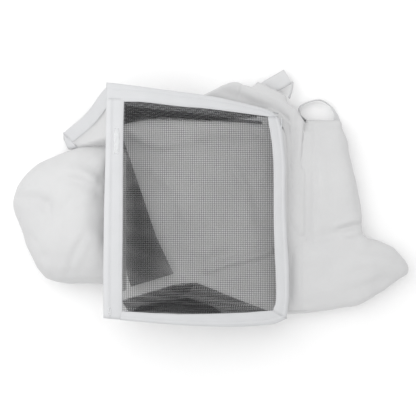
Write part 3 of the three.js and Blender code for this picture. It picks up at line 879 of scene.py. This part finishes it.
def crown_place(u, v):
    y = mix(-126, CROWN_TOP, u)
    depth = mix(TUCK_DEPTH, crown_end(y), ease(y, 86, 90.5))
    if y > crown_top(depth):
        depth = max(0.5, (CROWN_TOP - y) / (CROWN_TOP - CROWN_LOW) * CROWN_DEPTH)
    s = v * depth
    under_tapes = ease(min(crown_top(s) - 28 - y, 104 - s), -3, 3)
    return on_crown(y, s, -3.2 * under_tapes * ease(s, 4, 24))


crown_cloth = cloth_sheet("crown_cloth", 110, 40, (0.307, 0.131), crown_place, cotton, thickness=0.8)
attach(crown_cloth, "crown")
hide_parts("crown_panel")


# %% Tapes of the crown
def tape_on_crown(s, y, lift):
    return on_crown(y, s, lift)


upper_tape_inner = [(s, crown_top(s) - 30 + 4 * s / CROWN_DEPTH) for s in (0, 30, 60, 90, 108)]
upper_tape_outer = [(s, crown_top(s) + 1) for s in (0, 30, 60, 95, CROWN_DEPTH + 1)]
for name, inner, outer, node in (
    ("crown_upper_tape", upper_tape_inner, upper_tape_outer, "crown_upper_binding"),
    ("crown_back_tape", [(94, 90.5), (98, 96), (107, crown_top(107) - 27)],
     [(crown_end(90.5) + 1, 90.5), (crown_end(100) + 1, 100), (CROWN_DEPTH + 1, 118.5)], "crown_back_binding"),
):
    length = line_length(outer)
    tape = bound_edge(name, inner, outer, tape_on_crown, 25, length, half=plain_round, overlap=1.0, seed=20)
    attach(tape, "crown")
    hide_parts(node)
CROWN_SEAM = 0.14
seam = sewn_line("crown_upper_stitches", along_tape(upper_tape_inner, upper_tape_outer, CROWN_SEAM)[1:-1],
                 tape_on_crown, lift=plain_round(CROWN_SEAM) + 0.1)
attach(seam, "crown")

# %% [markdown]
# ## Loose cloth
#
# The smock's body and sleeves are loose cloth with air and more cloth inside. Each starts from the plain solid that
# stands for it: a copy is remeshed into even faces; the fold and the sleeves are blown up gently as cloth with some
# slack so that they wrinkle by themselves; and each is then given the folds that this garment has, each a valley or
# ridge along a line.


# %% A skin and its points
def soft_copy(name, nodes, voxel):
    """One closed skin round the named solids, in even faces."""
    bm = bmesh.new()
    for node in nodes:
        bm.from_mesh(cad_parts[node].data)
    bmesh.ops.remove_doubles(bm, verts=bm.verts, dist=1e-6)
    piece = finished(name, bm, cotton_loose)
    skin = piece.modifiers.new("even faces", "REMESH")
    skin.mode, skin.voxel_size, skin.use_smooth_shade = "VOXEL", voxel * MM, True
    settle(piece)
    return piece


def settle(piece):
    """Makes what the modifiers show the piece's own mesh."""
    graph = bpy.context.evaluated_depsgraph_get()
    graph.update()
    made = bpy.data.meshes.new_from_object(piece.evaluated_get(graph), depsgraph=graph)
    old = piece.data
    piece.modifiers.clear()
    piece.data = made
    bpy.data.meshes.remove(old)
    made.shade_smooth()


def refined(piece):
    fine = piece.modifiers.new("fine", "SUBSURF")
    fine.levels = fine.render_levels = 1
    settle(piece)


def points_of(piece):
    co = np.empty(len(piece.data.vertices) * 3)
    piece.data.vertices.foreach_get("co", co)
    return co.reshape(-1, 3)


def normals_of(piece):
    no = np.empty(len(piece.data.vertices) * 3)
    piece.data.vertex_normals.foreach_get("vector", no)
    return no.reshape(-1, 3)


def set_points(piece, co):
    piece.data.vertices.foreach_set("co", np.ascontiguousarray(co, dtype=np.float32).ravel())
    piece.data.update()


# %% [markdown]
# ### Blowing up
#
# A cloth simulation finds wrinkles that no one would draw. The skin is pressed outwards from inside for a few frames,
# with a little more cloth than it needs. Sideways it may move less than up, because the garment's outline is known.


# %% Cloth under a little pressure
SLACK, SIDEWAYS_SHARE = 0.02, 0.4


def blown(piece, pressure, frames, cap):
    """Cloth under gentle pressure, with slack for wrinkles. No point moves further than cap, in mm."""
    before = points_of(piece)
    cloth = piece.modifiers.new("blown", "CLOTH")
    now = cloth.settings
    now.quality = 4
    now.mass = 0.2
    now.tension_stiffness = now.compression_stiffness = 14
    now.shear_stiffness = 6
    now.bending_stiffness = 0.6
    now.use_pressure = True
    now.uniform_pressure_force = pressure
    now.shrink_min = now.shrink_max = -SLACK
    now.effector_weights.gravity = 0
    cloth.point_cache.frame_start, cloth.point_cache.frame_end = 1, frames
    for step in range(1, frames + 1):
        scene.frame_set(step)
    graph = bpy.context.evaluated_depsgraph_get()
    after = points_of(piece.evaluated_get(graph))
    piece.modifiers.clear()
    scene.frame_set(1)
    move = after - before
    move[:, :2] *= SIDEWAYS_SHARE
    far = np.linalg.norm(move, axis=1, keepdims=True)
    move *= np.minimum(1, cap * MM / np.maximum(far, 1e-9))
    set_points(piece, before + move)
    print(piece.name, "blown, mean move mm:", round(float(far.mean()) / MM, 1))


# %% [markdown]
# ### Creases and hollows
#
# The folds that make this garment itself are listed one by one: a valley or a ridge along a line, deepest in its
# middle, with a low shoulder on each side where the cloth that was pushed away gathers.


# %% Creases and hollows
def facing_up(no):
    """1 on the upper side, fading to 0 at the sides."""
    return np.clip((no[:, 2] + 0.15) / 0.5, 0, 1)


def line_distance(co, line):
    """Each point's distance in plan to a line, and how far along the line it is, from 0 to 1."""
    best, along = np.full(len(co), 1e9), np.zeros(len(co))
    steps = [(b - a).length for a, b in zip(line, line[1:])]
    total, gone = sum(steps), 0.0
    for a, b, step in zip(line, line[1:], steps):
        a2, d = np.array(a[:2]), np.array((b - a)[:2])
        t = np.clip(((co[:, :2] - a2) @ d) / max(d @ d, 1e-12), 0, 1)
        away = np.linalg.norm(co[:, :2] - a2 - t[:, None] * d, axis=1)
        closer = away < best
        best = np.where(closer, away, best)
        along = np.where(closer, (gone + t * step) / total, along)
        gone += step
    return best, along


def fold_line(piece, points, depth, width):
    """A valley (depth above 0) or a ridge (below 0) along a line on the upper side, faded at both ends."""
    line = [at(x, y, 0) for x, y in points]
    co, no = points_of(piece), normals_of(piece)
    away, along = line_distance(co, line)
    fade = np.sin(np.pi * np.clip(along, 0.02, 0.98)) ** 0.6
    w = width * MM
    shoulder = 0.35 * np.exp(-(((away - 2.2 * w) / (1.1 * w)) ** 2))
    cut = np.exp(-((away / w) ** 2)) - shoulder
    set_points(piece, co - no * (depth * MM * cut * fade * facing_up(no))[:, None])


def creased(piece, lines):
    """Presses in one line after another, each given as its points, depth and width."""
    for points, depth, width in lines:
        fold_line(piece, points, depth, width)


def dent(piece, x, y, depth, radius):
    """A round hollow (or a swelling, with depth below 0) on the upper side."""
    co, no = points_of(piece), normals_of(piece)
    centre = np.array(at(x, y, 0)[:2])
    away = np.linalg.norm(co[:, :2] - centre, axis=1) / (radius * MM)
    co[:, 2] -= depth * MM * np.exp(-(away**2)) * facing_up(no)
    set_points(piece, co)


# %% Swelling, layers and smoothing
LOWEST = 0.6  # mm above the table


def rumple(piece, amount, size, stretch=(1, 1, 1), seed=0.0):
    """Slow uneven swelling of the whole skin, kept above the table."""
    co, no = points_of(piece), normals_of(piece)
    scale = 1 / (size * MM)
    push = np.array([
        drift(p[0] * scale * stretch[0] + seed, p[1] * scale * stretch[1], p[2] * scale * stretch[2])
        for p in co
    ])
    co = co + no * (amount * MM * push)[:, None]
    co[:, 2] = np.maximum(co[:, 2], LOWEST * MM)
    set_points(piece, co)


def stacked(piece, levels, depth, width):
    """Grooves all round the sides, where the edges of folded layers meet."""
    co, no = points_of(piece), normals_of(piece)
    side = np.clip(1 - abs(no[:, 2]) * 1.2, 0, 1)
    push = np.zeros(len(co))
    for level in levels:
        wander = np.array([drift(p[0] * 14, p[1] * 14, level) for p in co]) * 2.2
        push += np.exp(-(((co[:, 2] / MM - level - wander) / width) ** 2))
    set_points(piece, co - no * (depth * MM * push * side)[:, None])


def relax(piece):
    """Smooths a skin twice, which takes the steps of the even faces out of it."""
    bm = bmesh.new()
    bm.from_mesh(piece.data)
    for _ in range(2):
        bmesh.ops.smooth_vert(bm, verts=bm.verts, factor=0.5, use_axis_x=True, use_axis_y=True, use_axis_z=True)
    bm.to_mesh(piece.data)
    bm.free()


def fuller_edge(piece, x, low_y, high_y, top, reach):
    """Squares a soft skin's rounded edge towards x, so that it meets the cloth beside it."""
    co, no = points_of(piece), normals_of(piece)
    from_edge = (co[:, 0] - at(x, 0, 0).x) / MM
    y = (co[:, 1] - NECK.y) / MM
    near = np.clip(1 - from_edge / reach, 0, 1)
    near *= np.clip((y - low_y) / 8, 0, 1) * np.clip((high_y - y) / 5, 0, 1) * (no[:, 2] > 0.15) * (from_edge > -2)
    co[:, 2] += np.clip(top * MM - co[:, 2], 0, 0.02) * np.minimum(1, 1.6 * near)
    set_points(piece, co)


def height_finder(piece):
    """A function that gives the height in mm of the piece's upper side under a point (x, y), or a default."""
    tree = BVHTree.FromPolygons([v.co for v in piece.data.vertices], [p.vertices for p in piece.data.polygons])

    def height(x, y, default=0.0):
        hit = tree.ray_cast(at(x, y, 300), Vector((0, 0, -1)))
        return hit[0].z / MM if hit[0] else default

    return height


# %% [markdown]
# ## The fold past the crown
#
# The smock's body is folded under the hood, and its fold puffs out beyond the crown. Its top has a long soft ridge
# from the upper side to the middle, and at its end a pinched hollow with three creases running into it.

# %% Fold past the crown
fold_cloth = soft_copy("smock_fold_cloth", ["torso_fold"], 4.5)
blown(fold_cloth, pressure=3.0, frames=20, cap=8)
relax(fold_cloth)
refined(fold_cloth)
creased(fold_cloth, [
    ([(-352, 50), (-336, 58), (-314, 55), (-294, 43), (-270, 29)], -3.0, 8),
    ([(-350, 38), (-330, 44), (-308, 40), (-286, 27), (-266, 14)], 2.2, 7),
])
dent(fold_cloth, -361, 3, 8, 17)
creased(fold_cloth, [
    ([(-416, 15), (-395, 15), (-376, 12), (-361, 4)], 2.6, 6),
    ([(-322, 18), (-334, 4), (-346, -12), (-359, -30)], 2.0, 6),
    ([(-361, 6), (-358, -12), (-362, -34)], 2.2, 6),
    ([(-402, 30), (-388, 32), (-368, 29)], -2.4, 8),
    ([(-298, -30), (-311, -52), (-324, -78), (-334, -108)], 1.5, 5),
    ([(-392, -40), (-376, -58), (-366, -78)], 1.4, 6),
])
dent(fold_cloth, -368, -73, 2.2, 7)
dent(fold_cloth, -282, -20, -8, 62)
stacked(fold_cloth, (20, 42), 3.0, 4.0)
rumple(fold_cloth, 2.6, 48, seed=2.0)
rumple(fold_cloth, 1.2, 18, stretch=(0.8, 0.8, 1.4), seed=5.0)
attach(fold_cloth, "garment")
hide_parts("torso_fold")

# %% [markdown]
# ## The smock's body under the hood
#
# Two thick layers of folded cotton lie under the hood's back. They are seen only from the side, as a stack of soft
# folded edges.

# %% Body layers
body_cloth = soft_copy("smock_body_cloth", ["torso_back_panel", "torso_front_panel"], 6)
relax(body_cloth)
refined(body_cloth)
stacked(body_cloth, (5, 10.5, 16.5, 22, 28, 34, 40.5), 3.8, 1.7)
rumple(body_cloth, 2.8, 46, stretch=(0.7, 0.7, 3.2), seed=8.0)
rumple(body_cloth, 1.4, 15, stretch=(0.8, 0.8, 2.0), seed=9.0)
creased(body_cloth, [
    ([(-250, 60), (-190, 30), (-120, 44), (-40, 20)], 3.0, 7),
    ([(-240, -90), (-170, -60), (-90, -84), (-20, -60)], 2.6, 7),
    ([(-140, 120), (-120, 60), (-130, -10), (-110, -110)], 2.2, 7),
    ([(-60, 110), (-50, 40), (-66, -40)], 1.8, 7),
])
BODY_CLEARANCE = 2.8  # mm under the top of the hood's back
co = points_of(body_cloth)
co[:, 2] = np.minimum(co[:, 2], BACK_TOP * MM - BODY_CLEARANCE * MM)
set_points(body_cloth, co)
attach(body_cloth, "garment")
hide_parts("torso_back_panel", "torso_front_panel")

# %% [markdown]
# ## Waist hem
#
# The smock ends in a hem with elastic inside. The elastic is shorter than the cloth, so the hem gathers into small
# waves along its length. At both ends it narrows and turns in under the body's layers.

# %% Hem with gathers
hem_low, hem_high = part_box("waist_hem")
GATHER, FULLNESS = 7.5, 1.3  # half a wave in mm, and the cut length over the finished length


def hem_piece():
    length, height = (hem_high.x - hem_low.x) / MM, (hem_high.z - hem_low.z) / MM
    middle_y = (hem_low.y + hem_high.y) / 2
    bm, keep_u, keep_v = flat_cut(150, 14, (length * FULLNESS * MM, height * MM))
    outer = doubled(bm)
    for vert in bm.verts:
        u, v = vert[keep_u], vert[keep_v]
        inward = ease(min(u, 1 - u), 0, 0.045)
        gather = math.sin(u * length / GATHER * math.pi + 1.6 * drift(u * 22, 0, 0))
        gather *= (0.35 + 0.65 * abs(2 * v - 1)) * (1 + 0.8 * drift(u * 9, 5, 0)) * inward
        thick = (1.5 * swell(v) + 0.3) * mix(0.4, 1, inward)
        side = -1 if vert in outer else 1
        y = middle_y + (side * thick + gather + 1.6 * (1 - inward)) * MM
        narrowed = 0.5 + (v - 0.5) * mix(0.62, 0.94, inward)
        slump = 1.4 * drift(u * 7, v, 2) * MM
        vert.co = (mix(hem_low.x, hem_high.x, u), y, mix(hem_low.z, hem_high.z, narrowed) + slump)
    bmesh.ops.recalc_face_normals(bm, faces=bm.faces)
    return finished("waist_hem_cloth", bm, cotton)


hem_cloth = hem_piece()
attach(hem_cloth, "garment")
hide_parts("waist_hem")

# %% [markdown]
# ## Left sleeve and shoulder
#
# The left sleeve comes out from under the hood's upper edge and bends round its corner. A seam crosses it near the
# top, and its cuff carries the wide thumb loop. The shoulder between the neck and the right sleeve belongs to the same
# cloth.

# %% Left sleeve
left_cloth = soft_copy("left_sleeve_cloth", ["left_sleeve", "left_cuff_hem", "shoulder_yoke"], 4.5)
blown(left_cloth, pressure=2.0, frames=16, cap=6)
relax(left_cloth)
refined(left_cloth)
creased(left_cloth, [
    ([(-61, 204), (-66, 186), (-74, 164)], 0.9, 2.5),
    ([(-104, 188), (-84, 178), (-50, 166), (-20, 156)], 2.2, 6),
    ([(-36, 184), (-10, 168), (12, 146), (20, 118)], -2.0, 9),
    ([(26, 154), (20, 128), (16, 98), (14, 72)], 2.4, 5),
])
stacked(left_cloth, (11, 22, 33), 2.6, 2.2)
rumple(left_cloth, 1.8, 42, seed=11.0)
rumple(left_cloth, 1.0, 15, stretch=(0.8, 0.8, 1.6), seed=12.0)
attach(left_cloth, "garment")
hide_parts("left_sleeve", "left_cuff_hem", "shoulder_yoke")

# %% [markdown]
# ## Right sleeve
#
# The right sleeve runs from the lower side out to a blunt point and folds back at the elbow, with its cuff at the
# top. It is one skin over both halves, with a crease at the elbow.

# %% Right sleeve
right_cloth = soft_copy("right_sleeve_cloth", ["right_upper_sleeve", "right_forearm", "right_cuff_hem"], 4.5)
blown(right_cloth, pressure=2.2, frames=18, cap=6)
relax(right_cloth)
refined(right_cloth)
fuller_edge(right_cloth, x=35, low_y=-50, high_y=122, top=41.5, reach=16)
creased(right_cloth, [
    ([(80, -37), (97, -32), (112, -27), (126, -24)], 5.0, 4.5),
    ([(132, -52), (118, -48), (100, -42), (84, -40)], -2.5, 7),
    ([(62, 120), (68, 80), (74, 40), (72, 0)], 1.8, 10),
    ([(96, 100), (98, 60), (104, 20), (108, -10)], -2.0, 9),
    ([(196, -98), (172, -88), (146, -82), (112, -86), (76, -96)], -2.6, 9),
    ([(190, -82), (170, -72), (150, -66), (120, -70)], 2.4, 7),
    ([(186, -112), (160, -110), (130, -118), (90, -128)], 2.6, 8),
    ([(170, -122), (140, -136), (100, -148)], -1.8, 7),
])
stacked(right_cloth, (9, 19, 29), 2.6, 2.2)
rumple(right_cloth, 2.2, 52, seed=21.0)
rumple(right_cloth, 1.0, 17, stretch=(0.8, 0.8, 1.6), seed=22.0)
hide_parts("right_upper_sleeve", "right_forearm", "right_cuff_hem")
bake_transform(right_cloth)

# %% [markdown]
# ## Cloth at the neck
#
# The hood's two neck edges are sewn to the smock's neckline. The cloth between them is a narrow skirt that rolls out
# from under the veil's tape and down. It is two sheets that meet at the hood back's edge. A third sheet is the edge of
# the folded sleeve, which laps over the neck cloth. The lower sheet and the lap ask the soft pieces under them how
# high they are, and lie on them.


# %% Upper neck skirt
LINE_STEPS = 200
UPPER_LINE = spaced([(-3, -158), (-3, -60), (-3, 40), (-5, 104), (-10, 120), (-16, 128), (-27, 135)], LINE_STEPS)


def beside(line, u):
    """The point at u, from 0 to 1, along a line, and the way out from it in plan."""
    i = min(LINE_STEPS - 1, int(u * LINE_STEPS))
    p, q = line[i], line[i + 1]
    return p.lerp(q, clamp01(u * LINE_STEPS - i)), Vector((q.y - p.y, p.x - q.x, 0)).normalized()


def neck_upper_place(u, v):
    middle, out = beside(UPPER_LINE, u)
    reach = 4.5 * v + 4.5 * math.sin(math.pi * v) + 0.8 * drift(middle.y / 22, v * 2, 6)
    p = middle + out * reach
    return at(p.x, p.y, mix(VEIL_HEIGHT - 1.8 - middle.x * 0.1, BACK_TOP + 1.0, v))


neck_upper = cloth_sheet("neck_skirt_upper", 110, 10, (0.305, 0.022), neck_upper_place, cotton)
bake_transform(neck_upper)
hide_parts("neck_fold")

# %% Lower neck skirt
left_height, right_height = height_finder(left_cloth), height_finder(right_cloth)
LOWER_LINE = spaced(
    [(2, -160), (2, -60), (2, 40), (1.5, 104), (-1, 122), (-8, 133), (-20, 142), (-32, 146)], LINE_STEPS
)


def neck_lower_place(u, v):
    """Falls from the hood back's edge and lies on the sleeves. At its ends and corner it dives under them."""
    middle, out = beside(LOWER_LINE, u)
    corner = ease(middle.y, 112, 132)
    p = middle + out * (v * mix(33.0, 16.0, corner))
    beside_forearm = ease(p.y, -58, -34)
    far = mix(46.5, 41.5, beside_forearm * (1 - corner))
    z = mix(BACK_TOP + 0.8, far, ease(v, 0, mix(1.0, 0.5, ease(p.y, 40, 70))))
    z += 0.7 * drift(p.y / 26, v * 3, 9) * (1 - 0.6 * v)
    lying_on = max(left_height(p.x, p.y), right_height(p.x, p.y) if p.y < -50 else 0.0)
    if p.y < 84:
        around = [max(40.5, left_height(p.x + d, p.y)) for d in (-6, -4, -2, 0, 2, 4, 6)]
        lying_on = max(lying_on, mix(sum(around) / len(around), 0.0, ease(p.y, 60, 84)))
    lobe = 1 - ease(v, 0.06, 0.22) * ease(p.y, 60, 84) * (1 - corner)
    sunk = max(ease(v, 0.6, 1.0) * max(corner, 1 - beside_forearm), 1 - ease(u, 0, 0.03), ease(u, 0.97, 1))
    z = mix(z, max(z - 2.5 * sunk, lying_on + mix(0.7, -1.3, sunk)), lobe)
    return at(p.x, p.y, z)


neck_lower = cloth_sheet("neck_skirt_lower", 130, 26, (0.315, 0.033), neck_lower_place, cotton)
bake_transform(neck_lower)
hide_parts("neck_seam_band")

# %% Sleeve lap
neck_height = height_finder(neck_lower)


def sleeve_lap_place(u, v):
    """Lies on the neck cloth along its free edge and sinks into the sleeve on the other side."""
    y = mix(-64, 134, u)
    left = mix(25.0, 30.5, ease(y, 88, 112)) + 0.8 * drift(y / 30, 0, 3)
    left += 4.0 * drift(y / 62, 4, 3) * (1 - ease(y, 80, 104))
    x = mix(left, 54.0, v)
    sunk = max(ease(v, 0.55, 1.0), 1 - ease(y, -64, -52), ease(y, 130, 134))
    on_sleeve = right_height(max(x, 42.0), y, 41.0) + mix(0.5, -1.3, sunk)
    tucked = (1 - ease(v, 0, 0.26)) * (1 - ease(y, 56, 76))
    on_neck = neck_height(min(x, 33.5), y, 41.0) + 0.6 - 1.3 * tucked
    free_edge = mix(on_neck, on_sleeve, max(ease(y, 104, 124), 1 - ease(y, -56, -40)))
    return at(x, y, mix(free_edge, on_sleeve, ease(x, 31, 46)))


sleeve_lap = cloth_sheet("right_sleeve_lap", 100, 18, (0.198, 0.026), sleeve_lap_place, cotton, thickness=0.7)
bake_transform(sleeve_lap)

# %% [markdown]
# ## Thumb loops
#
# Each cuff has a row of stitches and a strap sewn on as a loop, which goes over the thumb and keeps the sleeve down.
# The right one stands on its edge at one end and turns flat at the other. The left one is wider and lies nearly flat,
# and its end comes back to the cuff on edge, as a second short strap.

# %% Cuff stitches
for name, line, height, body in (
    ("right_cuff_stitches", [(38, 126.5), (64, 127), (91, 125.5)], right_height, "right_forearm"),
    ("left_cuff_stitches", [(-47, 181), (-22, 171), (-4, 160)], left_height, "garment"),
    ("left_sleeve_seam", [(-65, 196), (-68, 186), (-73, 174), (-77, 168)], left_height, "garment"),
):
    seam = sewn_line(name, line, lambda x, y, lift: at(x, y, height(x, y, 30.0) + lift), lift=0.1)
    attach(seam, body)


# %% Loops
def loop_strap(name, path, widths, turns, height, body, node):
    """A strap along a path of (x, y), with its width and its turn from upright given along the way."""
    count = 44
    line = spaced(path, count)
    bm, keep_u, keep_v = flat_cut(count, 6, (line_length(line) * MM, 0.016))
    top = doubled(bm)

    def along_way(values, u):
        return float(np.interp(u, np.linspace(0, 1, len(values)), values))

    for vert in bm.verts:
        u, v = vert[keep_u], vert[keep_v] - 0.5
        i = round(u * count)
        along = (line[min(i + 1, count)] - line[max(i - 1, 0)]).normalized()
        side = Vector((along.y, -along.x, 0))
        turn = math.radians(along_way(turns, u))
        across = Vector((0, 0, 1)) * math.cos(turn) + side * math.sin(turn)
        face = along.cross(across).normalized()
        thick = 0.9 * swell(v + 0.5, 6) + 0.15
        thick = thick if vert in top else -thick
        p = line[i] + across * (v * along_way(widths, u)) + face * thick
        vert.co = at(p.x, p.y, max(0.8, height + p.z))
    bmesh.ops.recalc_face_normals(bm, faces=bm.faces)
    strap = finished(name, bm, strap_finish)
    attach(strap, body)
    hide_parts(node)


loop_strap(
    "right_thumb_strap",
    [(38, 138.5), (28, 149), (28.5, 161), (43, 169), (61, 171.5), (77, 162), (85, 149), (87, 138.0)],
    [12, 12, 12, 12, 12, 12, 12, 13], [4, 3, 4, 5, 5, 6, 24, 62], 9.0, "right_thumb_loop", "right_thumb_loop",
)
loop_strap(
    "left_thumb_strap", [(-28, 187.5), (-16, 194.2), (-4, 200.8), (8.4, 207.8)],
    [24, 25, 25.5, 26], [85, 86, 86, 87], 19.0, "left_thumb_loop", "left_thumb_loop",
)
loop_strap(
    "left_thumb_strap_return", [(15.6, 199.5), (15.2, 191), (13.4, 183), (10.4, 174)],
    [12, 15, 16, 16], [16, 10, 8, 8], 18.0, "left_thumb_loop", "left_thumb_loop",
)

# %% [markdown]
# ## Pieces kept from the engineering model
#
# The steel stays inside the tapes and the elastic inside the hem keep their shapes. They only need their finishes.

# %% Finishes of the kept pieces
KEPT_FINISHES = {f"{edge}_edge_stay": steel_finish for edge in ("crown", "lower", "neck", "upper")}
KEPT_FINISHES["waist_elastic"] = elastic_finish
for node, finish in KEPT_FINISHES.items():
    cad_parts[node].data.materials.clear()
    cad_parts[node].data.materials.append(finish)
    print(node, "is finished in", finish.name)
